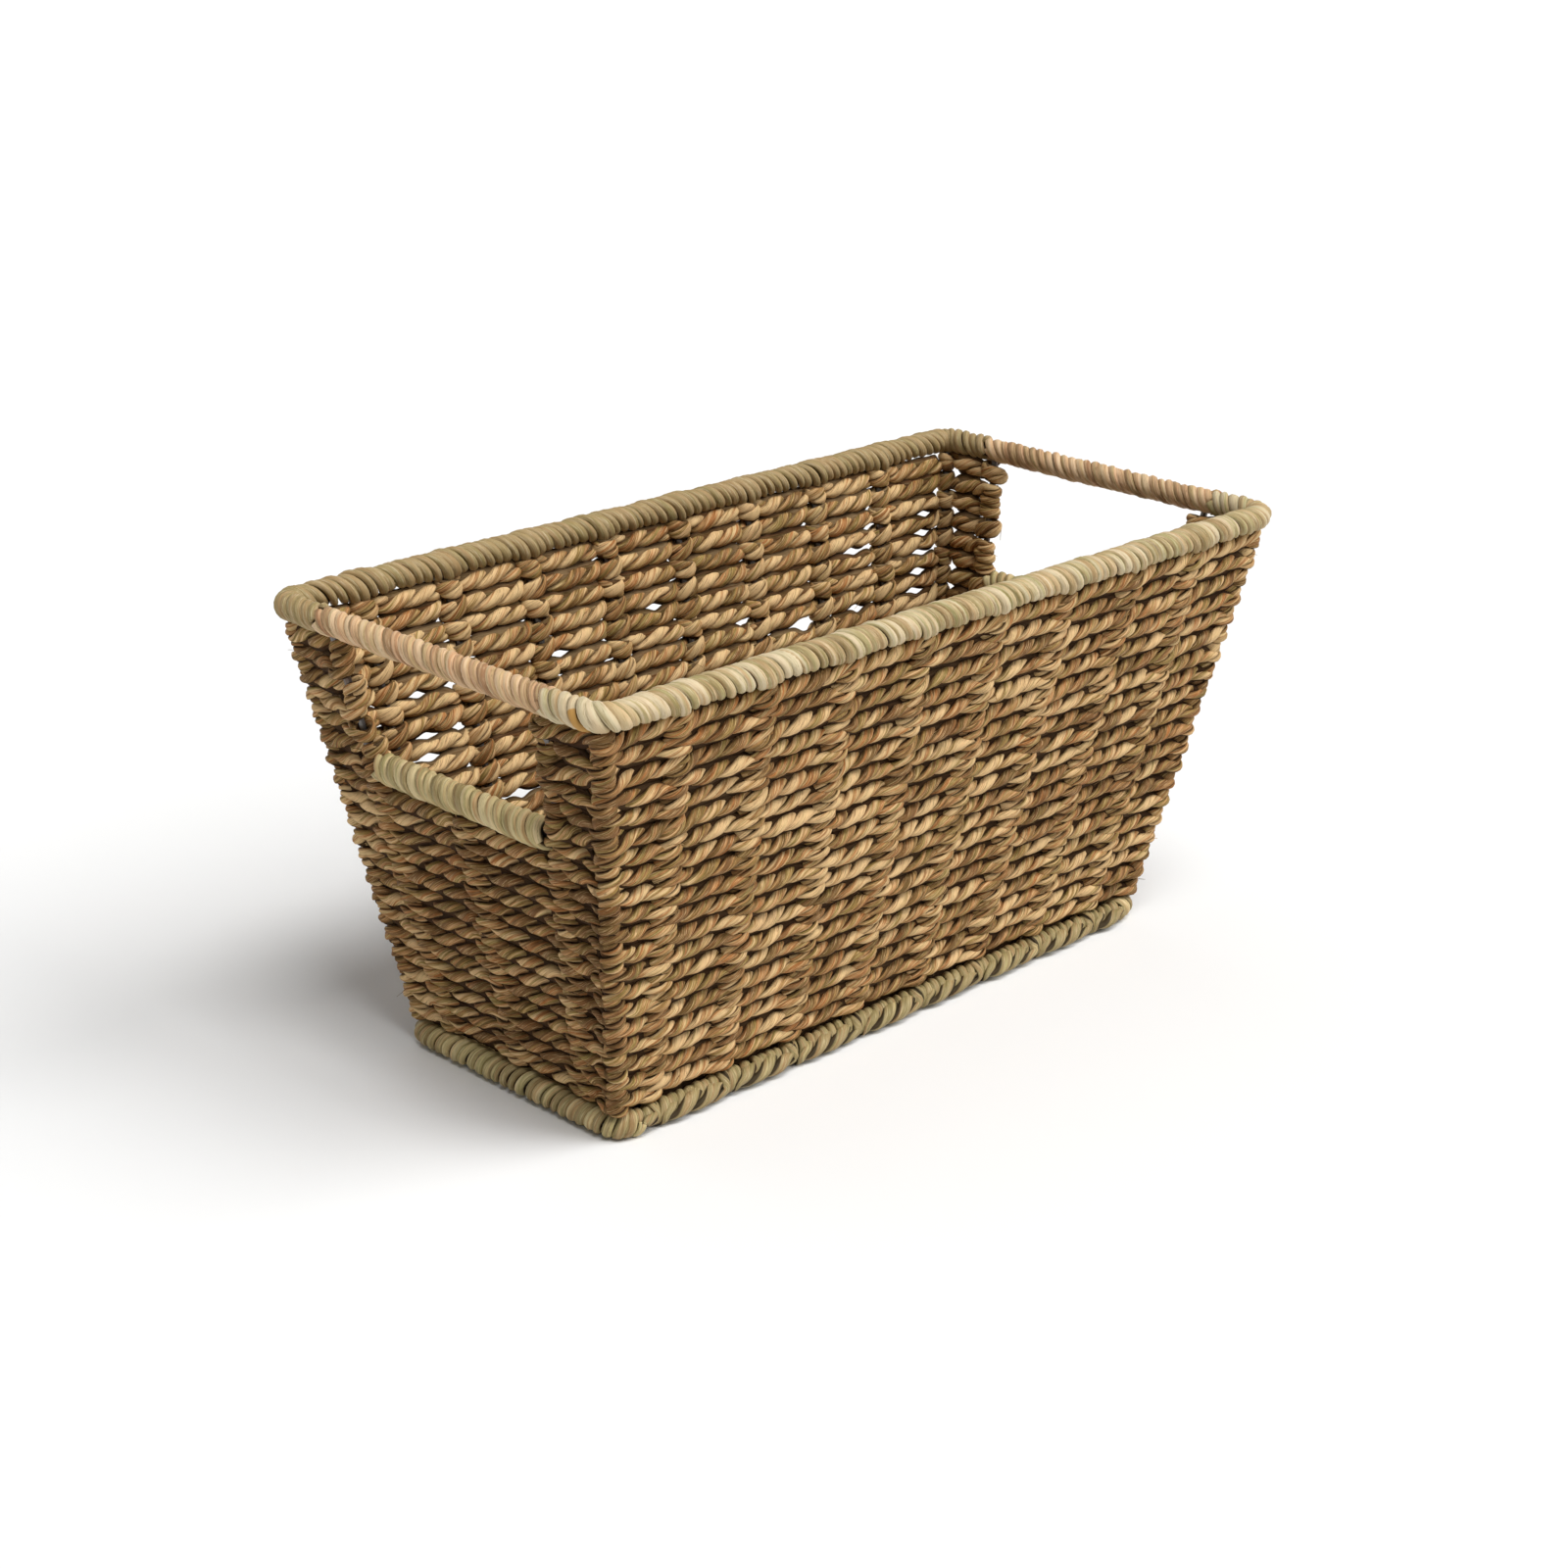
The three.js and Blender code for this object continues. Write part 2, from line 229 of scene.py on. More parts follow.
def wireFinish():
    look = {
        "steel": (0.16, 0.15, 0.14),
        "stain": (0.10, 0.05, 0.025),
        "grainScale": 900.0,
        "stainScale": 60.0,
        "stainShare": 0.8,
        "metal": {"Metallic": 0.85},
    }
    shader = Shader("frameWire")
    place = shader.add("ShaderNodeTexCoord", {}, {}, "Object")
    grain = shader.noise(place, look["grainScale"], 3.0)
    stain = shader.step(shader.noise(place, look["stainScale"], 4.0), 0.52, 0.66)
    colour = shader.tint(stain * look["stainShare"], look["steel"], look["stain"])
    return shader.finish(colour, grain * 0.2 + 0.35, grain, 0.05 * mm, look["metal"])


cordLook = {
    "bladeAcross": 0.8,  # patterns per mm round a strand and along it
    "bladeAlong": 0.045,
    "hueAlong": 0.03,
    "fibreAcross": 3.6,
    "fibreAlong": 0.26,
    "speckAcross": 1.4,
    "speckAlong": 0.5,
    "toneSpread": 0.5,
    "hues": [  # olive, straw, tan, pinkish tan, orange brown
        (0.0, (0.234, 0.166, 0.045)),
        (0.25, (0.295, 0.182, 0.055)),
        (0.5, (0.340, 0.180, 0.060)),
        (0.75, (0.385, 0.196, 0.077)),
        (1.0, (0.348, 0.132, 0.034)),
    ],
    "light": (0.715, 0.498, 0.252),
    "dark": (0.09, 0.042, 0.013),
    # the colour of the painted shade in grooves and gaps
    "deep": (0.028, 0.011, 0.003),
    "ochre": (0.45, 0.22, 0.03),  # for tones above 1.2
    "ochreShare": 0.85,
    "bladeLight": 0.75,
    "bladeDark": 0.7,
    "fibreLight": 0.6,
    "fibreDark": 0.72,
    "speckShare": 0.5,
    # where the painted shade begins and is full, and how strong it is
    "paintedShadeRange": (0.36, 0.86),
    "paintedShadeStrength": 0.95,
    "roughness": 0.66,
    "specular": 0.1,
    "bump": 0.35,
}
paleLook = {
    **cordLook,
    "hues": [
        (0.0, (0.320, 0.276, 0.112)),
        (0.3, (0.416, 0.332, 0.160)),
        (0.6, (0.480, 0.356, 0.184)),
        (1.0, (0.464, 0.308, 0.152)),
    ],
    "light": (0.656, 0.561, 0.384),
    "dark": (0.22, 0.14, 0.05),
    "deep": (0.045, 0.022, 0.006),
    "bladeLight": 0.6,
    "bladeDark": 0.55,
    "fibreLight": 0.45,
    "fibreDark": 0.45,
    "speckShare": 0.4,
    "paintedShadeRange": (0.30, 0.58),
    "paintedShadeStrength": 0.92,
    "roughness": 0.62,
    "specular": 0.2,
    "bump": 0.25,
}
tanLook = {
    **paleLook,
    "hues": [
        (0.0, (0.458, 0.334, 0.156)),
        (0.35, (0.558, 0.370, 0.188)),
        (0.7, (0.590, 0.370, 0.202)),
        (1.0, (0.540, 0.299, 0.152)),
    ],
    "light": (0.704, 0.528, 0.335),
    "dark": (0.15, 0.07, 0.025),
    "deep": (0.035, 0.014, 0.004),
}
sageLook = {
    **paleLook,
    "hues": [
        (0.0, (0.348, 0.291, 0.119)),
        (0.35, (0.452, 0.365, 0.163)),
        (0.7, (0.522, 0.396, 0.189)),
        (1.0, (0.496, 0.300, 0.132)),
    ],
    "light": (0.661, 0.548, 0.317),
    "dark": (0.12, 0.08, 0.028),
    "deep": (0.022, 0.012, 0.003),
}
finishes = {  # by the record's material slots
    "seagrass_cord": grassFinish("seagrassCord", cordLook),
    "pale_winding": grassFinish("paleStrand", paleLook),
    "tan_winding": grassFinish("tanStrand", tanLook),
    "sage_winding": grassFinish("sageStrand", sageLook),
}
steelFinish = wireFinish()


def unit(vectors):
    return vectors / np.maximum(np.linalg.norm(vectors, axis=-1, keepdims=True), 1e-9)


def wander(count, wave, closed=False):
    # smooth random values from about -1 to 1, with a new one every wave steps
    knots = max(4, int(round(count / max(wave, 1e-6))) + 1)
    values = random.uniform(-1, 1, knots)
    if closed:
        values[-1] = values[0]
    place = np.linspace(0, knots - 1, count)
    low = np.minimum(place.astype(int), knots - 2)
    share = place - low
    share = share * share * (3 - 2 * share)
    return values[low] * (1 - share) + values[low + 1] * share


def evenly(points, extras, step, closed):
    # resamples a line and the values that go with it at even steps
    if closed:
        points = np.vstack([points, points[:1]])
        extras = [np.append(e, e[0]) for e in extras]
    along = np.append(0, np.cumsum(np.linalg.norm(np.diff(points, axis=0), axis=1)))
    count = max(8, int(round(along[-1] / step)))
    marks = np.linspace(0, along[-1], count + 1)
    if closed:
        marks = marks[:-1]
    line = np.stack([np.interp(marks, along, points[:, k]) for k in range(3)], axis=1)
    return line, [np.interp(marks, along, e) for e in extras], along[-1]


def soften(values, width, closed):
    # a running average with round weights, over width steps each way
    weights = np.hanning(2 * width + 3)[1:-1]
    weights /= weights.sum()
    mode = "wrap" if closed else "edge"
    pad = [(width, width)] + [(0, 0)] * (values.ndim - 1)
    padded = np.pad(values, pad, mode=mode)
    if values.ndim == 1:
        return np.convolve(padded, weights, "valid")
    return np.stack([np.convolve(column, weights, "valid") for column in padded.T], axis=1)


def directions(line, closed):
    if closed:
        return unit(np.roll(line, -1, axis=0) - np.roll(line, 1, axis=0))
    return unit(np.gradient(line, axis=0))


def smoothShare(value):
    value = np.clip(value, 0, 1)
    return value * value * (3 - 2 * value)


class Tube:  # one strand's rings of points, with the values that its finish reads
    def __init__(self, rings, closed, grain, groove, tone):
        self.rings = rings
        self.closed = closed
        self.grain = grain
        self.groove = groove
        self.tone = tone


def strandTube(line, closed, outward, halfWidth, halfDepth, sides, lobes, twist=0.0):
    # outward points away from what the strand lies on; halfWidth runs along the surface
    ahead = directions(line, closed)
    radial = unit(outward - (outward * ahead).sum(axis=1, keepdims=True) * ahead)
    across = np.cross(ahead, radial)
    count = len(line)
    step = np.linalg.norm(np.diff(line, axis=0), axis=1).mean()
    turn = np.arange(sides) * 2 * np.pi / sides
    along = np.arange(count) / count * 2 * np.pi
    shape = np.ones((count, sides))
    for fold, waveLength, size in lobes:
        waves = round(count * step / waveLength)
        phase = random.uniform(0, 2 * np.pi)
        strength = 0.6 + 0.4 * wander(count, 14 / step, closed)[:, None]
        shape += size * strength * np.cos(fold * turn[None, :] + waves * along[:, None] + phase)
    cosTurn, sinTurn = np.cos(turn)[None, :], np.sin(turn)[None, :]
    depth = halfDepth[:, None] * shape * cosTurn
    width = halfWidth[:, None] * shape * sinTurn
    lean = np.broadcast_to(twist, (count,))[:, None]
    cosLean, sinLean = np.cos(lean), np.sin(lean)
    depth, width = depth * cosLean - width * sinLean, depth * sinLean + width * cosLean
    rings = line[:, None, :] + depth[..., None] * radial[:, None, :]
    rings = rings + width[..., None] * across[:, None, :]
    grain = np.empty_like(rings)
    size = float(halfWidth.mean())
    grain[..., 0] = size * cosTurn
    grain[..., 1] = size * sinTurn
    grain[..., 2] = (np.arange(count) * step)[:, None]
    grain += np.array([0, 0, random.uniform(0, 5000)])
    # painted shade: darker on the side of the strand that faces what it lies on, and in its folds
    groove = (1 - (depth / halfDepth[:, None]).clip(-1, 1)) / 2
    groove = groove + 0.25 * (1 - shape)
    tone = np.repeat(0.5 + 0.5 * wander(count, 24 / step, closed)[:, None], sides, axis=1)
    return Tube(rings, closed, grain, groove, tone)


mapFill = 0.94  # how much of its band in the laid-out map a strand fills


def joinedMesh(name, tubes):
    # builds one mesh from strands, with a laid-out map in bands and round ends closed
    points, corners, starts, totals, maps = [], [], [], [], []
    grain, groove, tone = [], [], []
    offset = loopCount = 0
    side = math.sqrt(sum(t.rings.shape[0] * t.rings.shape[1] for t in tubes) * 0.8)
    plan = []
    top = 0.0
    for tube in tubes:
        count, sides, _ = tube.rings.shape
        bandRings = max(4, int(side))
        plan.append((top, bandRings))
        top += math.ceil(count / bandRings) * sides
    for tube, (low, bandRings) in zip(tubes, plan):
        count, sides, _ = tube.rings.shape
        rows = count if tube.closed else count - 1
        ring, spot = np.meshgrid(np.arange(rows), np.arange(sides), indexing="ij")
        nextRing, nextSpot = (ring + 1) % count, (spot + 1) % sides
        here, there = ring * sides, nextRing * sides
        quad = np.stack([here + spot, there + spot, there + nextSpot, here + nextSpot], axis=-1)
        corners.append((quad + offset).reshape(-1))
        band, place = ring // bandRings, ring % bandRings
        u0, u1 = place / (bandRings + 1), (place + 1) / (bandRings + 1)
        v0 = (low + band * sides + spot * mapFill) / top
        v1 = (low + band * sides + (spot + 1) * mapFill) / top
        maps.append(np.stack([u0, v0, u1, v0, u1, v1, u0, v1], axis=-1).reshape(-1))
        starts.append(loopCount + np.arange(rows * sides) * 4)
        totals.append(np.full(rows * sides, 4))
        loopCount += rows * sides * 4
        if not tube.closed:
            for row, order in ((0, np.arange(sides)), (count - 1, np.arange(sides)[::-1])):
                corners.append(offset + row * sides + order)
                u = np.full(sides, (row % bandRings) / (bandRings + 1))
                v = (low + (row // bandRings) * sides + order * mapFill) / top
                maps.append(np.stack([u, v], axis=-1).reshape(-1))
                starts.append(np.array([loopCount]))
                totals.append(np.array([sides]))
                loopCount += sides
        points.append(tube.rings.reshape(-1, 3))
        grain.append(tube.grain.reshape(-1, 3))
        groove.append(tube.groove.reshape(-1))
        tone.append(tube.tone.reshape(-1))
        offset += count * sides
    mesh = bpy.data.meshes.new(name)
    mesh.vertices.add(offset)
    mesh.vertices.foreach_set("co", (np.concatenate(points) * mm).astype(np.float32).ravel())
    mesh.loops.add(loopCount)
    mesh.loops.foreach_set("vertex_index", np.concatenate(corners).astype(np.int32))
    mesh.polygons.add(sum(len(s) for s in starts))
    mesh.polygons.foreach_set("loop_start", np.concatenate(starts).astype(np.int32))
    mesh.polygons.foreach_set("loop_total", np.concatenate(totals).astype(np.int32))
    mesh.update(calc_edges=True)
    mesh.polygons.foreach_set("use_smooth", np.ones(len(mesh.polygons), bool))
    laid = mesh.uv_layers.new(name="OFBake")
    laid.uv.foreach_set("vector", np.concatenate(maps).astype(np.float32))
    for label, kind, values, field in (
        ("grain", "FLOAT_VECTOR", np.concatenate(grain), "vector"),
        ("groove", "FLOAT", np.concatenate(groove), "value"),
        ("tone", "FLOAT", np.concatenate(tone), "value"),
    ):
        stored = mesh.attributes.new(label, kind, "POINT")
        stored.data.foreach_set(field, values.astype(np.float32).ravel())
    return mesh


def addPiece(name, tubes, slot, *replaced):
    piece = bpy.data.objects.new(name, joinedMesh(name, tubes))
    bpy.context.scene.collection.objects.link(piece)
    piece.data.materials.append(finishes[slot])
    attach(piece, "root")
    if replaced:
        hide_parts(*replaced)
    return piece


cord = {
    "plies": 2,
    "plyDepth": 1.62,  # mm, half a ply's size from the cord's middle outward
    "plyWidth": 2.1,  # and round it
    "plyOffset": 1.62,  # from the cord's middle to each ply's
    "heart": (1.1, 4.3),  # half depth and height of the core that the plies lie on, coloured all in the painted shade colour to stand for the shade in the gaps between plies and rows
    "lay": 19.0,  # length of one full twist
    "sides": 14,
    "heartSides": 8,
    # folds down a ply: how many round it, the length of one turn in mm, and the depth
    "lobes": [(3, 19.0, 0.07), (4, -14.0, 0.05), (6, 23.0, 0.035), (2, 31.0, 0.04)],
    "heartLobes": [(3, 9.0, 0.06)],
    "step": 0.95,
    "frontSqueeze": (0.46, 0.60),  # in depth and height, where it crosses the outside of a stake
    "backSqueeze": (0.42, 1.0),  # and where it passes behind
    "turnSqueeze": (0.50, 0.72),  # where a course turns back round the last stake
    "flatter": (0.86, 0.98),  # the cord's height between stakes, at the front and the back
    "spanOffset": 0.15,  # how far outside the stakes the cord runs between them
    "wrapStretch": 1.8,  # a wrap is longer along the wall than through it
    "stackHalf": 1.66,  # a wrap's two front passes lie this far below and above their row
    "easeLength": 8.0,  # over which the cord settles from a wrap to its full size
    "sag": 0.22,
}
cordHalf = cord["plyOffset"] + cord["plyDepth"]
wallY = 20.0  # every part of the back wall lies further back than this


loosePlaces = {
    "part": 0.9,  # mm, how far the cords above and below give way
    "pinch": 0.28,
    "width": 3.3,
    # along the back wall, and the course below the gap
    "places": [
        (-106, 14), (-92, 14), (-104, 12), (-91, 12), (-105, 11), (-106, 10), (-71, 8),
        (64, 12), (-46, 14), (133, 16), (131, 15), (128.5, 14), (126.5, 13), (124, 12),
        (105, 16), (104, 15), (94, 15), (93, 12), (68, 12), (36, 13), (-3, 15),
    ],
}


def looseness(plan, height):
    # how far a course gives way beside a gap, and how much of its height is left
    push, left = np.zeros(len(plan)), np.ones(len(plan))
    if plan[:, 1].mean() < baseHalf[1] - 8:  # not on the back wall
        return push, left
    pitch = rowHeights[1] - rowHeights[0]
    course = round((height - rowHeights[0]) / pitch)
    for x, below in loosePlaces["places"]:
        if course in (below, below + 1):
            near = np.exp(-(((plan[:, 0] - x) / loosePlaces["width"]) ** 2))
            push += near * loosePlaces["part"] * (-1 if course == below else 1)
            left *= 1 - loosePlaces["pinch"] * near
    return push, left


def wrapAndSpan(stops, height, closed, handed=1, continued=False, climbTo=None):
    # the cord's middle line: once round each stake, and on to the next; stops are plan points
    # a continued course starts behind its first stake; climbTo is the height of the course
    # above, which the cord goes on into after some turns round the last stake
    count = len(stops)
    points, depths, heights = [], [], []
    legs = count if closed else count - 1
    direction = [unit(stops[(i + 1) % count] - stops[i]) for i in range(legs)]
    if not closed:
        direction.append(direction[-1])
    normal = [handed * np.array([d[1], -d[0]]) for d in direction]
    frontReach = stakeWireRadius + cordHalf * cord["frontSqueeze"][0]
    backReach = stakeWireRadius + cordHalf * cord["backSqueeze"][0] * 0.9
    squeezes = (np.array(cord[k]) for k in ("frontSqueeze", "backSqueeze", "turnSqueeze"))
    frontSqueeze, backSqueeze, turnSqueeze = squeezes
    for i in range(count):
        before = normal[i - 1] if (closed or i > 0) else normal[0]
        after = normal[i]
        low = -cord["stackHalf"] + random.uniform(-0.2, 0.2)
        high = cord["stackHalf"] + random.uniform(-0.2, 0.2)
        loose = 1 + 0.07 * random.uniform(-1, 1)
        starts = continued and i == 0
        turns = climbTo is not None and i == count - 1
        if not starts:
            startAngle = math.atan2(before[1], before[0])
            turn = (math.atan2(after[1], after[0]) - startAngle + math.pi) % (2 * math.pi) - math.pi
            total = handed * (5 * math.pi if turns else 2 * math.pi) + turn
            share = np.linspace(0, 1, 75 if turns else 30)
            angle = startAngle + total * share
            if turns:
                ring = frontReach * loose * np.ones_like(share)
                z = height + low + (climbTo - height + high - low) * share
                squeeze = np.broadcast_to(turnSqueeze, (len(share), 2))
            else:
                behind = smoothShare((0.5 - np.abs(share - 0.5)) * 4 - 0.5)
                ring = (frontReach + (backReach - frontReach) * behind) * loose
                z = height + low + (high - low) * smoothShare(share)
                squeeze = frontSqueeze * (1 - behind[:, None]) + backSqueeze * behind[:, None]
            outer = unit(before + after)
            plan = np.stack([ring * np.cos(angle), ring * np.sin(angle)], axis=1)
            through = (plan @ outer)[:, None] * outer
            stretch = 1 + (cord["wrapStretch"] - 1) * max(0.0, 1 - 1.3 * abs(turn)) * (not turns)
            points.append(np.column_stack([stops[i] + through + (plan - through) * stretch, z]))
            depths.append(squeeze[:, 0])
            heights.append(squeeze[:, 1])
        if i >= legs:
            break
        length = np.linalg.norm(stops[(i + 1) % count] - stops[i])
        ease = min(cord["easeLength"], 0.42 * length)
        share = np.linspace(0, 1, max(8, int(length)))[1:-1]
        run = share * length
        near = 1 - smoothShare(run / ease)
        far = 1 - smoothShare((length - run) / ease)
        hug = np.maximum(near, far)
        nearReach = -frontReach if starts else frontReach * loose
        offset = nearReach * near + frontReach * far
        offset = offset + (cord["spanOffset"] + random.uniform(-0.5, 0.5)) * (1 - hug)
        rise = high * near - cord["stackHalf"] * far
        z = height + rise + cord["sag"] * random.uniform(-1.2, 1) * np.sin(np.pi * share)
        plan = stops[i] + direction[i] * run[:, None] + after * offset[:, None]
        push, left = looseness(plan, height)
        points.append(np.column_stack([plan, z + push]))
        full = (1 - hug) * random.uniform(0.96, 1.04)
        depths.append(frontSqueeze[0] * hug + full)
        flatter = cord["flatter"][int(plan[:, 1].mean() > wallY)]
        heights.append((frontSqueeze[1] * hug + full * flatter) * left)
    return np.vstack(points), np.concatenate(depths), np.concatenate(heights)


def twistedCord(
    points, depth, height, closed, side=None, sides=cord["sides"], step=cord["step"], heart=cord["heart"]
):
    # side is the direction that depth squeezes along: through the wall, unless it is given
    given = [] if side is None else list(np.asarray(side).T)
    line, (depth, height, *given), length = evenly(points, [depth, height, *given], step, closed)
    line = soften(line, 2, closed)
    depth, height = soften(depth, 2, closed), soften(height, 2, closed)
    count = len(line)
    line = line + 0.15 * np.stack([wander(count, 12, closed) for _ in range(3)], axis=1)
    ahead = directions(line, closed)
    if given:
        side = np.stack(given, axis=1)
        side = unit(side - (side * ahead).sum(axis=1, keepdims=True) * ahead)
    else:
        side = unit(np.cross(ahead, [0, 0, 1.0]))
    up = np.cross(side, ahead)
    twists = round(length / cord["lay"])
    swing = 2 * np.pi * twists * np.arange(count) / count + 1.1 * wander(count, 30, closed)
    tubes = []
    for ply in range(cord["plies"]):
        phase = swing + 2 * np.pi * ply / cord["plies"] + 0.2 * wander(count, 9, closed)
        away = np.cos(phase)[:, None] * side + np.sin(phase)[:, None] * up
        swell = 1 + 0.08 * wander(count, 8, closed) + 0.06 * wander(count, 25, closed)
        plyLine = line + (cord["plyOffset"] * swell)[:, None] * away
        width, thick = cord["plyWidth"] * swell, cord["plyDepth"] * swell
        tubes.append(strandTube(plyLine, closed, away, width, thick, sides, cord["lobes"]))
    if heart:
        hidden = np.interp(depth, (0.55, 0.95), (0.74, 1.0))  # thinner where the cord is squeezed
        thick, tall = heart[0] * hidden, heart[1] * hidden
        tubes.append(strandTube(line, closed, side, tall, thick, cord["heartSides"], cord["heartLobes"]))
        # the core is coloured all in the painted shade colour, as painted shade in the gaps
        tubes[-1].groove = np.ones_like(tubes[-1].groove)
    for tube in tubes:
        spread = tube.rings - line[:, None, :]
        lift = (spread * up[:, None, :]).sum(axis=2)
        out = (spread * side[:, None, :]).sum(axis=2)
        if heart:  # painted shade where the next course lies against this one, most of all below on the walls
            near = np.where(lift < 0, -lift, 0.83 * lift) if heart[1] > heart[0] else np.abs(out)
            edge = smoothShare(near / cordHalf * 3.4 - 2.2)
            tube.groove = np.maximum(0.8 * tube.groove, 0.95 * edge)
        squashed = (height - 1)[:, None, None] * lift[..., None] * up[:, None, :]
        squashed += (depth - 1)[:, None, None] * out[..., None] * side[:, None, :]
        tube.rings = tube.rings + squashed
    return tubes


rows = {
    "count": 20,
    "lowest": 12.2,  # mm, the height of the first row's middle
    "highest": 137.9,
    "underSill": 13,  # rows that run all the way round
    "upperSplit": 3,  # rows above the sills in each long wall's first length of cord
}
rowHeights = np.linspace(rows["lowest"], rows["highest"], rows["count"])
columns = [f"{end}_{side}_column" for end in ends for side in ("front", "back")]
walls = [f"{name}_weave" for name in ("front_wall", "back_wall", "left_end", "right_end", *columns)]
woven = []  # the walls' plies, for the loose fibres

# painted light and shade by place on the wall cords
paintedSideLight = {
    "backPaintedLight": 0.19,  # painted light: the cord of the back wall and the right columns is a little paler
    "backPaintedShadeChange": -0.2,
    "backEase": 20.0,  # mm, over which the change comes
    "endPaintedDarkening": -0.2,  # and painted shade: the left end's is darker
    "endPaintedShadeChange": 0.1,
    "endReach": 7.0,
    "endEase": 5.0,
    # all painted shade in the wall cords' grooves a little stronger
    "groove": 1.06,
}


def paintSideLight(tubes, height):
    # height is the course's own, or the middle of its courses'
    endX = corner["front", "left"](height)[0]
    for tube in tubes:
        x, y = tube.rings[..., 0], tube.rings[..., 1]
        inside = (y - wallY) / paintedSideLight["backEase"]
        if height > rowHeights[rows["underSill"]]:
            inside = np.maximum(inside, (x + endX + paintedSideLight["endReach"]) / paintedSideLight["endEase"])
        atBack = smoothShare(inside)
        atEnd = smoothShare((endX + paintedSideLight["endReach"] - x) / paintedSideLight["endEase"])
        # painted light at the back and painted shade at the left end, in tone and in the grooves
        tube.tone = tube.tone + paintedSideLight["backPaintedLight"] * atBack + paintedSideLight["endPaintedDarkening"] * atEnd
        tube.groove *= paintedSideLight["groove"] + paintedSideLight["backPaintedShadeChange"] * atBack + paintedSideLight["endPaintedShadeChange"] * atEnd
    return tubes


def weaveWalls():
    for i, height in enumerate(rowHeights[: rows["underSill"]]):
        height = height + random.uniform(-0.15, 0.15)
        stops = [stake(height) for stake in ringRun]
        course = paintSideLight(twistedCord(*wrapAndSpan(stops, height, True), True), height)
        addPiece(f"wallCourse{i + 1:02d}", course, "seagrass_cord", *(walls if i == 0 else ()))
        woven.extend(course[: cord["plies"]])
    runs = {
        "front": [handle["front", "left"], *frontRun, handle["front", "right"]],
        "back": [handle["back", "right"], *backRun, handle["back", "left"]],
    }
    for side, run in runs.items():
        upper = rowHeights[rows["underSill"]:]
        for part, heights in enumerate((upper[: rows["upperSplit"]], upper[rows["upperSplit"]:])):
            pieces = []
            for k, height in enumerate(heights):
                stops = [stake(height) for stake in run]
                order, handed = (stops, 1) if k % 2 == 0 else (stops[::-1], -1)
                above = heights[k + 1] if k + 1 < len(heights) else None
                pieces.append(wrapAndSpan(order, height, False, handed, k > 0, above))
            course = twistedCord(*(np.concatenate(values) for values in zip(*pieces)), False)
            paintSideLight(course, heights.mean())
            addPiece(f"{side}UpperCourses{part + 1}", course, "seagrass_cord")
            woven.extend(course[: cord["plies"]])


weaveWalls()
print("walls woven")


looseFibre = {"count": 700, "radius": 0.14, "length": (3.0, 7.5), "lift": (0.1, 0.9), "steps": 7}


def addLooseFibres():
    # single fibres that have come away from the cord
    made = []
    share = np.linspace(0, 1, looseFibre["steps"])
    for _ in range(looseFibre["count"]):
        rings = woven[random.integers(len(woven))].rings
        i, j = random.integers(6, len(rings) - 6), random.integers(rings.shape[1])
        here = rings[i, j]
        out = unit(here - rings[i].mean(axis=0))
        ahead = unit(rings[i + 4, j] - rings[i - 4, j]) * random.choice([-1, 1])
        length, lift = random.uniform(*looseFibre["length"]), random.uniform(*looseFibre["lift"])
        bend = random.uniform(-0.5, 0.5) * length
        line = here - 0.2 * out + np.outer(share * length, ahead)
        line = line + np.outer(lift * share**1.5, out) + np.outer(bend * share**2, np.cross(ahead, out))
        size = looseFibre["radius"] * (1 - 0.5 * share)
        made.append(strandTube(line, False, np.broadcast_to(out, line.shape), size, size, 4, []))
    addPiece("looseFibres", made, "seagrass_cord")


addLooseFibres()


def point(x, y, z):
    return np.array([x, y, z], float)


winding = {
    "spacing": 3.5,  # mm, along the wire
    "halfWidth": 1.68,
    "halfDepth": 1.45,
    "step": 1.0,
    "sides": 12,
    "cornerRadius": 6.3,
    "crowding": 0.8,  # how many more turns go round a bend
    "drop": 0.8,  # how much more the strands swell below a stake's head than above it
    "lobes": [(3, 17.0, 0.05), (5, 23.0, 0.04), (4, -29.0, 0.04)],
    "onFloor": 0.02,  # mm, the lowest that the strands round the base may come
}


def wireRoute(corners, closed=False, radius=winding["cornerRadius"]):
    # a wire's middle line, with its corners rounded
    points = []
    count = len(corners)
    for i, here in enumerate(corners):
        if not closed and i in (0, count - 1):
            points.append(np.array([here]))
            continue
        into = unit(here - corners[i - 1])
        out = unit(corners[(i + 1) % count] - here)
        centre = here + radius * (out - into)
        angle = np.linspace(0, np.pi / 2, 12)[:, None]
        points.append(centre - radius * (np.cos(angle) * out) + radius * (np.sin(angle) * into))
    return np.vstack(points)


floor = {
    "courses": 11,
    "middle": 4.3,  # height of the cord's middle between the wires
    "overWire": 6.1,
    "underWire": 1.15,
    "borderGap": (8.0, 7.8),  # from the base wire's middle to the course that runs round the floor
    "borderRadius": 4.2,
    "endGap": 14.8,  # and to the ends of the other courses
    "tail": 4.0,  # how much further the cord's two loose ends run
    "overLong": 1.0,  # how much higher a course lies that hides a hoop that runs the long way
    "between": (1.05, 0.86),  # squeeze across the floor and in height
    "over": (0.80, 0.52),
    "under": (0.56, 0.32),
    # the floor cord's core, coloured all in the painted shade colour as painted shade in the gaps between
    # courses
    "heart": (3.5, 1.5),
    "wrapReach": 2.9,  # half the length of a wrap round a hoop
    "drift": 1.6,  # how far sideways a course is before and after it
    "easeLength": 7.0,
    "sides": 10,
    "step": 1.4,
    "borderStep": 1.15,
}


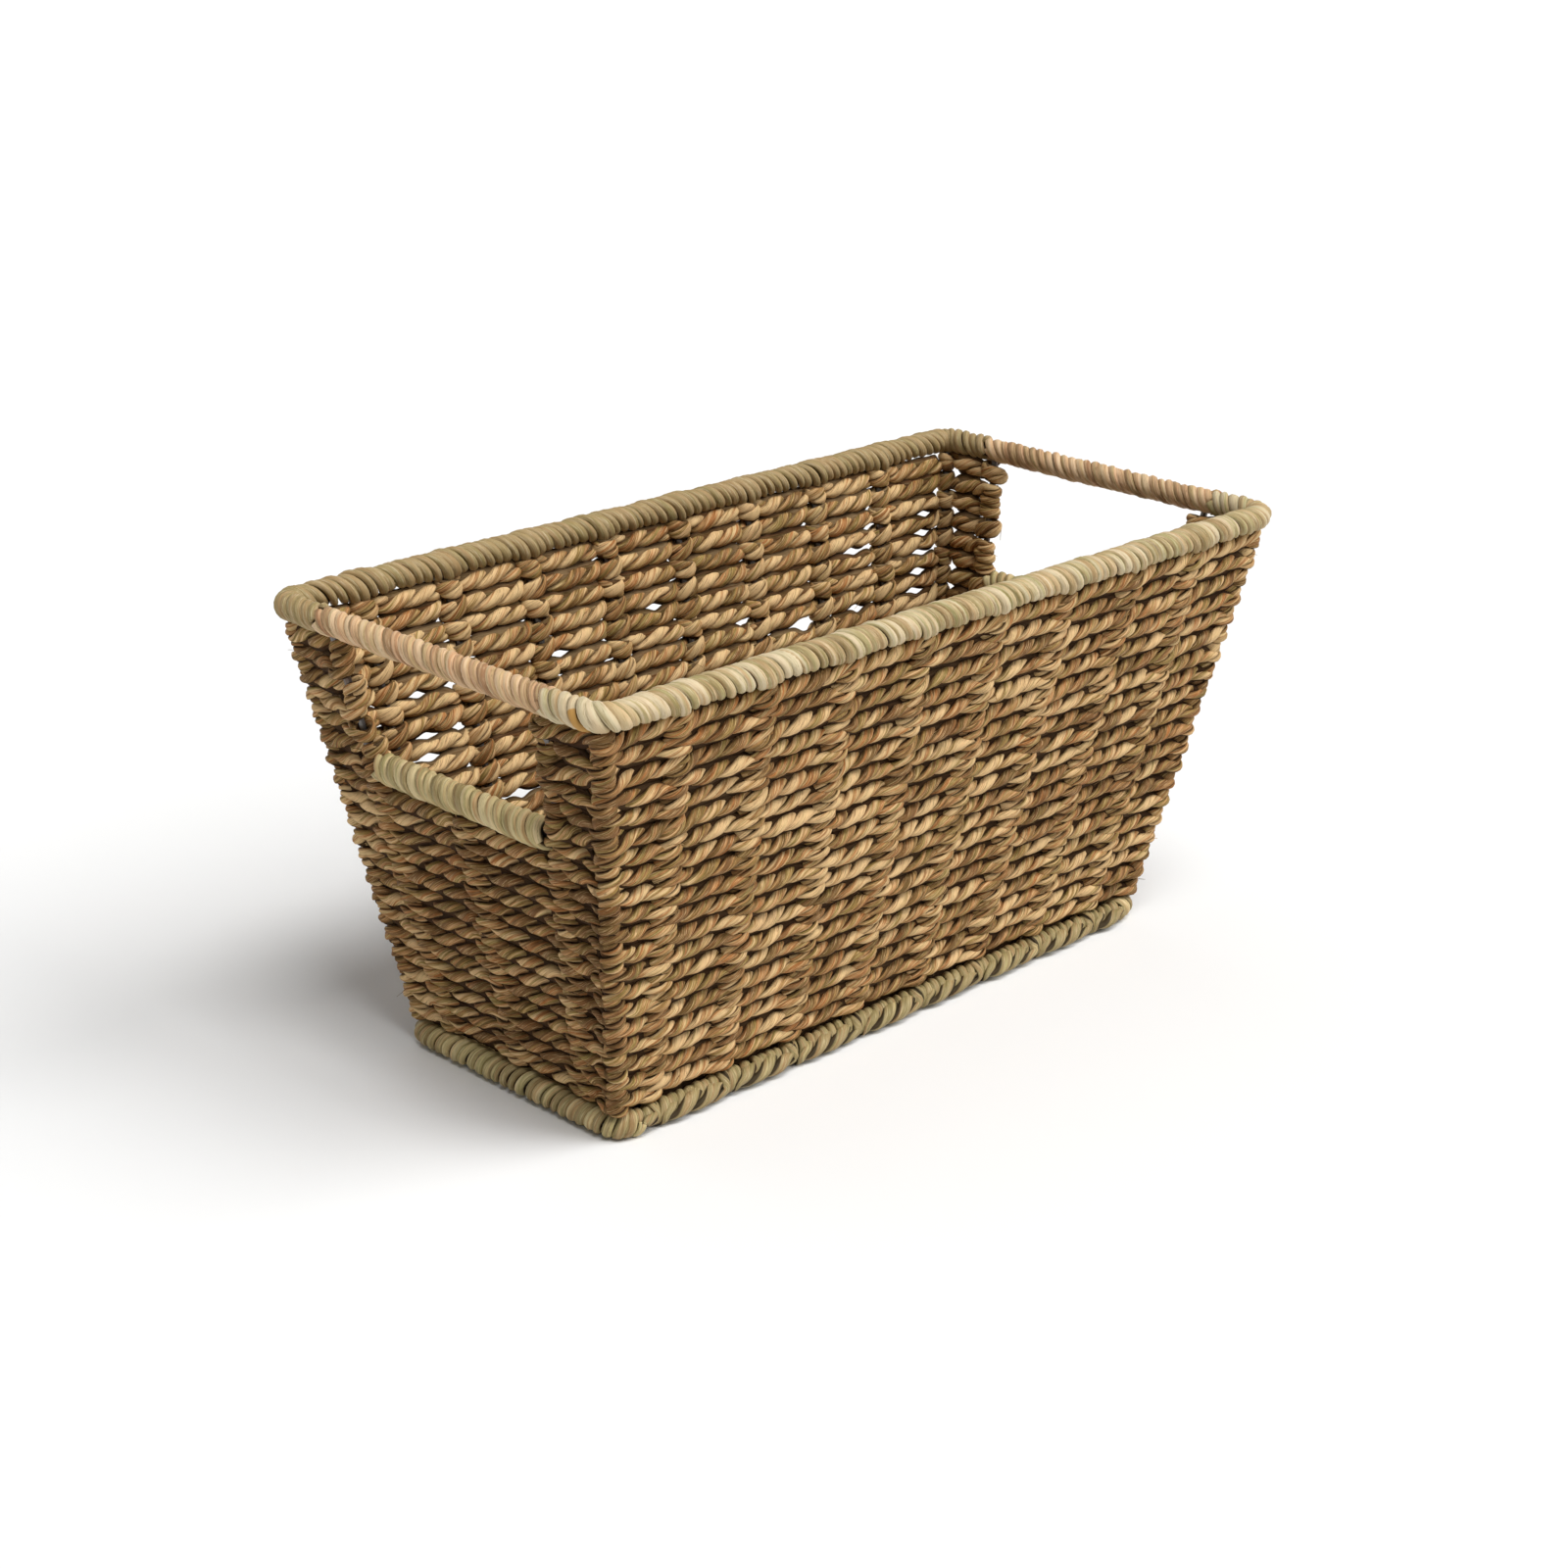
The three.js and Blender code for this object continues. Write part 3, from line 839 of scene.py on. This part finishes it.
def weaveFloor():
    # courses run the long way, over and once round each cross hoop; the first, the middle
    # and the last lie on the hoops that run the long way
    hoopX = sorted(wireCentre(n, 1, 0.0)[0] for n in crossHoops)
    wireZ = wireCentre(crossHoops[0], 1, 0.0)[2]
    endX = baseHalf[0] - floor["endGap"]
    half = abs(wireCentre("handle_hoop_front", 0, 0.0)[1])
    lines = np.linspace(-half, half, floor["courses"])
    pitch = lines[1] - lines[0]
    points, depth, height = [], [], []
    between, over, under = (np.array(floor[k]) for k in ("between", "over", "under"))

    def lay(x, y, z, squeeze):
        points.append(np.column_stack(np.broadcast_arrays(x, y, z)))
        depth.append(np.broadcast_to(squeeze[0], np.shape(x)))
        height.append(np.broadcast_to(squeeze[1], np.shape(x)))

    for k, y in enumerate(lines):
        ahead = 1 if k % 2 == 0 else -1
        lifted = floor["overLong"] * (min(abs(y), abs(abs(y) - half)) < 1)
        y = y + random.uniform(-0.2, 0.2)
        tail = floor["tail"] * (k == 0), floor["tail"] * (k == len(lines) - 1)
        stops = [-ahead * (endX + tail[0]), *hoopX[::ahead], ahead * (endX + tail[1])]
        for i in range(1, len(stops)):
            length = abs(stops[i] - stops[i - 1])
            share = np.linspace(0, 1, max(6, int(length)))[:-1]
            run = share * length
            atWire = i < len(stops) - 1
            ease = min(floor["easeLength"], 0.4 * length)
            near = (1 - smoothShare(run / ease)) * (i > 1)
            far = (1 - smoothShare((length - run) / ease)) * atWire
            hug = np.maximum(near, far)
            z = floor["middle"] + lifted + random.uniform(-0.25, 0.25)
            z = z + (floor["overWire"] - floor["middle"]) * hug
            wave = 0.3 * random.uniform(-1, 1) * np.sin(np.pi * share)
            drift = floor["drift"] * (near - far) + wave
            squeeze = between[:, None] * (1 - hug) + over[:, None] * hug
            lay(stops[i - 1] + ahead * run, y + drift, z, squeeze)
            if not atWire:
                continue
            share = np.linspace(0, 1, 22)
            angle = np.pi / 2 - 2 * np.pi * share
            lift = np.where(np.sin(angle) > 0, floor["overWire"] - wireZ, wireZ - floor["underWire"])
            below = np.clip(-np.sin(angle), 0, 1)
            squeeze = over[:, None] * (1 - below) + under[:, None] * below
            x = stops[i] + ahead * floor["wrapReach"] * np.cos(angle)
            crossing = y + floor["drift"] * (2 * smoothShare(share) - 1)
            lay(x, crossing, wireZ + lift * np.sin(angle), squeeze)
        if k + 1 < len(lines):
            turn = np.linspace(-np.pi / 2, np.pi / 2, 10)[1:-1]
            x = ahead * (endX + pitch / 2 * np.cos(turn))
            y = y + pitch / 2 * (1 + np.sin(turn))
            lay(x, y, floor["middle"], between[:, None] + 0 * turn)
    points, depth, height = (np.concatenate(values) for values in (points, depth, height))
    side = np.broadcast_to([0, -1.0, 0], points.shape).copy()
    sides, heart = floor["sides"], floor["heart"]
    cords = twistedCord(points, depth, height, False, side, sides, floor["step"], heart)
    addPiece("floorCord", cords, "seagrass_cord", "floor_weave")
    x, y = baseHalf - floor["borderGap"]
    z = floor["middle"] + floor["overLong"]
    corners = [point(a, b, z) for a, b in ((x, -y), (x, y), (-x, y), (-x, -y))]
    ring = wireRoute(corners, True, floor["borderRadius"])
    ring = evenly(ring, [], 2.0, True)[0]
    outward = np.cross(directions(ring, True), [0, 0, 1.0])
    squeeze = [np.full(len(ring), size) for size in floor["between"]]
    border = twistedCord(ring, *squeeze, True, outward, sides, floor["borderStep"], heart)
    addPiece("floorBorder", border, "seagrass_cord")


weaveFloor()
print("floor woven")


def woundStrand(route, closed, radius, starts, handed=-1, swellAt=None, toneAt=None, floorAt=None):
    # one or more strands side by side, wound round a wire
    # swellAt and toneAt take points on the wire; nothing comes lower than floorAt
    axis, _, length = evenly(route, [np.zeros(len(route))], 0.5, closed)
    turns = length / (winding["spacing"] * starts)
    turns = round(turns) if closed else turns
    middleRadius = radius - winding["halfDepth"]
    samples = int(turns * 2 * np.pi * middleRadius / winding["step"])
    place = np.linspace(0, 1, samples, endpoint=not closed)
    ring = np.vstack([axis, axis[:1]]) if closed else axis
    bending = np.linalg.norm(np.diff(directions(ring, False), axis=0), axis=1)
    crowd = np.concatenate([[0], np.cumsum(0.5 + winding["crowding"] * radius * bending)])
    mark = np.interp(place * crowd[-1], crowd, np.arange(len(ring)))
    low = np.minimum(mark.astype(int), len(ring) - 2)
    share = (mark - low)[:, None]
    centre = ring[low] * (1 - share) + ring[low + 1] * share
    tangent = directions(axis, closed)
    tangent = np.vstack([tangent, tangent[:1]]) if closed else tangent
    ahead = unit(tangent[low] * (1 - share) + tangent[low + 1] * share)
    side = unit(np.cross(ahead, [0, 0, 1.0]))
    up = np.cross(side, ahead)
    perTurn = samples / turns
    swell = swellAt(centre) if swellAt else 0
    sides = winding["sides"]
    tubes = []
    drift = 0.4 * wander(samples, perTurn * 1.5, closed)
    for strand in range(starts):
        angle = handed * 2 * np.pi * (turns * place + strand / starts) + drift
        away = np.cos(angle)[:, None] * side + np.sin(angle)[:, None] * up
        loose = 0.22 * wander(samples, perTurn * 0.7, closed) + 0.2 * wander(samples, perTurn * 4, closed)
        swollen = swell * (1 - winding["drop"] * away[:, 2])
        line = centre + (middleRadius + loose + swollen)[:, None] * away
        line = line + (0.6 * wander(samples, perTurn * 0.6, closed))[:, None] * ahead
        width = winding["halfWidth"] * (1 + 0.25 * wander(samples, perTurn * 0.7, closed))
        depth = winding["halfDepth"] * (1 + 0.12 * wander(samples, perTurn * 0.7, closed))
        lean = 0.3 * wander(samples, perTurn * 0.8, closed)
        tube = strandTube(line, closed, away, width, depth, sides, winding["lobes"], lean)
        tone = 0.5 + 0.5 * wander(samples, perTurn * 0.9, closed)
        if toneAt:
            tone = tone + toneAt(centre, strand)
        tube.tone = np.repeat(tone[:, None], sides, axis=1)
        if floorAt is not None:
            tube.rings[..., 2] = np.maximum(tube.rings[..., 2], floorAt)
        tubes.append(tube)
    return tubes


edges = {
    "rim": (4.4, 4),  # mm from the wire's middle to the outside, and how many strands side by side
    "handle": (4.2, 5),
    "sill": (4.7, 4),
    "sillReach": 1.5,  # how far the sill's strands run past its CAD winding at each end
    "lumps": {"front": 0.7, "back": 1.0},  # how far the rim's strands swell over a stake's head
    "lumpWidth": 4.0,
    "backDull": 1.1,
    # the ochre turn near one corner, and how much paler the strands close to it are
    "ochre": {"tone": 1.2, "reach": 8.0, "inEnd": 1.2, "paler": 0.5, "palerReach": 14.0},
}


def lumpsAt(heads, size):
    return lambda p: size * sum(np.exp(-(((p[:, 0] - x) / edges["lumpWidth"]) ** 2)) for x in heads)


def windEdges():
    handleHalf = boxMm("handle_winding_left")[1][1]
    tones = {"front": ochreCorner, "back": duller(edges["backDull"])}
    for side, s, stakes in (("front", -1, frontStakes), ("back", 1, backStakes)):
        x, y = rimHalf
        plan = (-x, handleHalf), (-x, y), (x, y), (x, handleHalf)
        corners = [point(a, s * b, rimHeight) for a, b in plan]
        starts = f"rim_winding_{side}", f"rim_corner_{side}"
        replaced = [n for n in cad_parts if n.startswith(starts)]
        swell = lumpsAt([stake(rimHeight)[0] for stake in stakes], edges["lumps"][side])
        route = wireRoute(corners)
        strand = woundStrand(route, False, *edges["rim"], swellAt=swell, toneAt=tones[side])
        addPiece(f"{side}RimStrand", strand, "pale_winding", *replaced)
    for end, s in (("left", -1), ("right", 1)):
        x = s * rimHalf[0]
        line = np.array([point(x, -handleHalf, rimHeight), point(x, handleHalf, rimHeight)])
        strand = woundStrand(line, False, *edges["handle"])
        addPiece(f"{end}HandleStrand", strand, "tan_winding", f"handle_winding_{end}")
        low, high = boxMm(f"sill_winding_{end}")
        x, _, z = (low + high) / 2
        reach = high[1] + edges["sillReach"]
        line = np.array([point(x, -reach, z), point(x, reach, z)])
        strand = woundStrand(line, False, *edges["sill"])
        addPiece(f"{end}SillStrand", strand, "sage_winding", f"sill_winding_{end}")
    windBase()


def ochreCorner(centre, strand):
    ochre = edges["ochre"]
    near = np.linalg.norm(centre - point(-rimHalf[0], -rimHalf[1], rimHeight), axis=1)
    paler = ochre["paler"] * np.exp(-((near / ochre["palerReach"]) ** 2))
    atEnd = centre[:, 0] < -rimHalf[0] + ochre["inEnd"]
    return paler + ochre["tone"] * (strand == 0) * (near < ochre["reach"]) * atEnd


def duller(size):
    return lambda centre, strand: np.full(len(centre), -size)


base = {
    "longRadius": 3.6,  # of the long sides' winding, which lies under a cord
    # painted shade: the long sides' winding, which lies under the cord, is darkened
    "longPaintedShade": 0.8,
    "endRadius": 4.4,
    "endDull": 0.3,
    "courseOut": 2.3,  # the outer cord's middle lies this far outside the wire
    "courseAngle": -0.1,  # and this far round it, in radians
    "wrapRadius": 3.3,
    "wrapSqueeze": (0.40, 0.62),
    "footWrapLength": 3.6,
    "footGap": 2.2,  # from a foot's middle to the straight runs of cord
    "cordInset": 5.0,  # from the base wire's end to the cord's
    # painted shade on the cord round the base, which curls under: a darker tone and darker grooves
    "cordPaintedShade": -0.9,
    "cordPaintedShadeScale": 1.3,
}


def windBase():
    x, y = baseHalf
    bend, lowest = winding["cornerRadius"], winding["onFloor"]
    feet = [stake(baseHeight)[0] for stake in frontStakes]
    for side, s in (("front", -1), ("back", 1)):
        line = np.array([point(-x + bend, s * y, baseHeight), point(x - bend, s * y, baseHeight)])
        # painted shade on the long sides' winding
        tone = duller(base["longPaintedShade"])
        strand = woundStrand(line, False, base["longRadius"], 2, 1, None, tone, lowest)
        addPiece(f"{side}BaseStrand", strand, "sage_winding", f"base_winding_{side}")
        addPiece(f"{side}BaseCord", baseCord(feet, s), "sage_winding")
    for end, s in (("left", -1), ("right", 1)):
        inner = x - bend - 1
        plan = (inner, -y), (x, -y), (x, y), (inner, y)
        corners = [point(s * a, b, baseHeight) for a, b in plan]
        replaced = [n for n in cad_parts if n.startswith("base_") and n.endswith(end)]
        route = wireRoute(corners)
        tone = duller(base["endDull"])
        strand = woundStrand(route, False, base["endRadius"], 2, -s, None, tone, lowest)
        addPiece(f"{end}BaseStrand", strand, "sage_winding", *replaced)


def baseCord(feet, s):
    # runs along the outside of the base wire, and once round it at every stake's foot
    x, y = baseHalf
    points, depth, height, side = [], [], [], []

    def lay(along, angle, radius, squeeze):
        along, angle, radius = np.broadcast_arrays(along, angle, radius)
        out = np.column_stack([0 * angle, s * np.cos(angle), np.sin(angle)])
        onWire = np.column_stack([along, 0 * angle + s * y, 0 * angle + baseHeight])
        points.append(onWire + radius[:, None] * out)
        side.append(out)
        depth.append(np.broadcast_to(squeeze[0], angle.shape))
        height.append(np.broadcast_to(squeeze[1], angle.shape))

    stops = [-x + base["cordInset"], *feet, x - base["cordInset"]]
    low = base["courseAngle"]
    for i in range(1, len(stops)):
        run = np.arange(stops[i - 1] + base["footGap"], stops[i] - base["footGap"], 1.0)
        far = np.minimum(run - run[0], run[-1] - run)
        full = smoothShare(far / 5)
        radius = base["wrapRadius"] + (base["courseOut"] - base["wrapRadius"]) * full
        squeeze = [narrow + (1 - narrow) * full * 0.98 for narrow in base["wrapSqueeze"]]
        lay(run, low + 0.1 * random.uniform(-1, 1), radius, squeeze)
        if i < len(stops) - 1:
            share = np.linspace(0, 1, 26)
            along = stops[i] + base["footWrapLength"] * (smoothShare(share) - 0.5)
            lay(along, low + 2 * np.pi * share, base["wrapRadius"], base["wrapSqueeze"])
    parts = (np.concatenate(values) for values in (points, depth, height))
    tubes = twistedCord(*parts, False, np.concatenate(side), heart=False)
    for tube in tubes:
        tube.rings[..., 2] = np.maximum(tube.rings[..., 2], winding["onFloor"])
        # painted shade: darker all over and in the grooves
        tube.tone = tube.tone + base["cordPaintedShade"]
        tube.groove = tube.groove * base["cordPaintedShadeScale"]
    return tubes


windEdges()
print("edges wound")

for name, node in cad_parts.items():
    if not node.hide_render:
        node.data.materials.clear()
        node.data.materials.append(steelFinish)


stage = {
    "flat": 6.0,  # m, how far the floor runs before it curves up into the wall
    "curve": 2.0,
    "top": 2.4,
    "segments": 96,
    "colour": (0.76, 0.76, 0.755),
    "sky": 0.12,
    "suns": {  # power, width in degrees and the direction that the light comes from
        "keySun": (2.42, 42.0, (0.58, -0.76, 0.88)),
        "fillSun": (0.4, 60.0, (-0.05, 0.5, 1.0)),
        "topSun": (2.0, 26.0, (-0.13, -0.38, 1.0)),
    },
}


def makeStage():
    bend = np.linspace(0, np.pi / 2, 12)
    flat, curve = stage["flat"], stage["curve"]
    out = np.concatenate([[1.0], flat + curve * np.sin(bend), [flat + curve]])
    up = np.concatenate([[0.0], curve * (1 - np.cos(bend)), [stage["top"]]])
    count = stage["segments"]
    angles = np.arange(count) * 2 * np.pi / count
    points = [(0.0, 0.0, 0.0)]
    faces = [(0, 1 + i, 1 + (i + 1) % count) for i in range(count)]
    for ring, (distance, height) in enumerate(zip(out, up)):
        points += [(distance * math.cos(a), distance * math.sin(a), height) for a in angles]
        if ring:
            low, high = 1 + (ring - 1) * count, 1 + ring * count
            pairs = [(i, (i + 1) % count) for i in range(count)]
            faces += [(low + i, high + i, high + j, low + j) for i, j in pairs]
    mesh = bpy.data.meshes.new("studioFloor")
    mesh.from_pydata(points, [], faces)
    mesh.polygons.foreach_set("use_smooth", np.ones(len(mesh.polygons), bool))
    sheet = bpy.data.objects.new("studioFloor", mesh)
    bpy.context.scene.collection.objects.link(sheet)
    shader = Shader("paleFloor")
    sockets = {"Base Color": stage["colour"], "Roughness": 0.9}
    surface = shader.add("ShaderNodeBsdfPrincipled", {}, sockets)
    shader.add("ShaderNodeOutputMaterial", {}, {"Surface": surface})
    mesh.materials.append(shader.material)
    world = bpy.data.worlds.new("softSky")
    world.use_nodes = True
    background = world.node_tree.nodes["Background"]
    background.inputs["Color"].default_value = (1, 1, 1, 1)
    background.inputs["Strength"].default_value = stage["sky"]
    bpy.context.scene.world = world
    bpy.context.scene.view_settings.view_transform = "Standard"


def placed(name, data, axes, place):
    # links a new object whose own axes point along the given directions
    item = bpy.data.objects.new(name, data)
    bpy.context.scene.collection.objects.link(item)
    turned = np.stack(axes, axis=1)
    item.matrix_world = Matrix([[*row, p] for row, p in zip(turned, place)] + [[0, 0, 0, 1]])
    return item


def addSun(name, power, width, direction):
    light = bpy.data.lights.new(name, "SUN")
    light.energy = power
    light.angle = math.radians(width)
    back = unit(np.array(direction, float))
    right = unit(np.cross([0, 0, 1.0], back))
    placed(name, light, [right, np.cross(back, right), back], back)


def addCamera():
    view = {
        "place": (-626.8, -593.5, 398.8),  # mm
        "azimuth": -45.09,  # degrees
        "elevation": 21.48,
        "roll": 0.79,
        "lens": 65.04,
        "shift": (0.0355, 0.0164),
    }
    a, e, r = (math.radians(view[k]) for k in ("azimuth", "elevation", "roll"))
    back = np.array([math.sin(a) * math.cos(e), -math.cos(a) * math.cos(e), math.sin(e)])
    right = unit(np.cross(-back, [0, 0, 1.0]))
    up = np.cross(right, -back)
    rolledRight = math.cos(r) * right + math.sin(r) * up
    rolledUp = -math.sin(r) * right + math.cos(r) * up
    lens = bpy.data.cameras.new("camera")
    lens.lens = view["lens"]
    lens.sensor_width = 36
    lens.shift_x, lens.shift_y = view["shift"]
    lens.clip_start = 0.01
    place = np.array(view["place"]) * mm
    bpy.context.scene.camera = placed("camera", lens, [rolledRight, rolledUp, back], place)


makeStage()
for name, sun in stage["suns"].items():
    addSun(name, *sun)
addCamera()
print("stage set")

print("basket finished")
